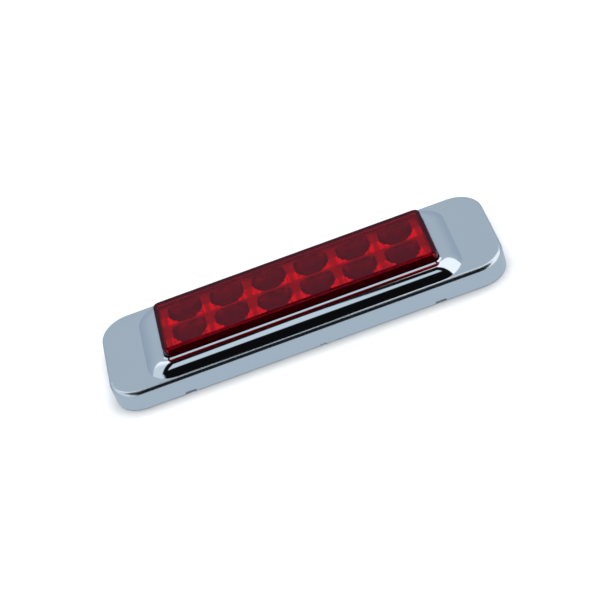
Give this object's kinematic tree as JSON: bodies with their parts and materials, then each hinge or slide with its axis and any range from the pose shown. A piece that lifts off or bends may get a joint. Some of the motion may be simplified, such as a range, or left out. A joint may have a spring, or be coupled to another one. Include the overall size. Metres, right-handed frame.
{
  "type": "third brake light",
  "caption": "High-mount brake light: long rounded bright cover with a raised surround, proud red box lens, reflector cups and LEDs on a screwed-down tray.",
  "frame": {"origin": "centre of the mounting face, at the underside of the gasket", "axes": "+X along the lamp, +Y across it, +Z out of the vehicle panel, through the lens"},
  "size_m": [0.23, 0.072, 0.0237],
  "materials": {
    "bright_plating": "bright decorative plating on ABS, mirror smooth",
    "red_lens": "clear red acrylic, polished outside, fluted inside",
    "black_plastic": "fine moulded texture",
    "black_rubber": "smooth moulded rubber",
    "foam": "closed-cell foam",
    "metallised": "vacuum metallised",
    "board": "solder resist over glass laminate",
    "clear_epoxy": "water-clear epoxy",
    "resistor_coat": "lacquered",
    "diode_body": "moulded epoxy",
    "capacitor_sleeve": "shrunk sleeve",
    "tinned_metal": "hot tin dip",
    "zinc_steel": "clear zinc plate"
  },
  "bodies": {
    "lamp": {"base_plate": "black_plastic", "board_screws": "zinc_steel", "board_terminals": "tinned_metal", "circuit_board": "board", "housing_screws": "zinc_steel", "lamp_housing": "black_plastic", "led_1": "clear_epoxy", "led_10": "clear_epoxy", "led_11": "clear_epoxy", "led_12": "clear_epoxy", "led_2": "clear_epoxy", "led_3": "clear_epoxy", "led_4": "clear_epoxy", "led_5": "clear_epoxy", "led_6": "clear_epoxy", "led_7": "clear_epoxy", "led_8": "clear_epoxy", "led_9": "clear_epoxy", "lens": "red_lens", "lens_seal": "black_rubber", "mounting_gasket": "foam", "protection_diode": "diode_body", "reflector": "metallised", "resistor_1": "resistor_coat", "resistor_2": "resistor_coat", "resistor_3": "resistor_coat", "resistor_4": "resistor_coat", "spring_clip_1": "zinc_steel", "spring_clip_2": "zinc_steel", "spring_clip_3": "zinc_steel", "spring_clip_4": "zinc_steel", "spring_clip_5": "zinc_steel", "spring_clip_6": "zinc_steel", "surge_capacitor": "capacitor_sleeve", "vent_plug": "black_plastic", "wire_gland": "black_rubber"},
    "cover": {"bezel": "bright_plating"}
  },
  "joints": [
    {"name": "cover_lift", "type": "slide", "parent": "lamp", "child": "cover", "axis": [0, 0, 1], "range_m": [0, 0.045]}
  ]
}
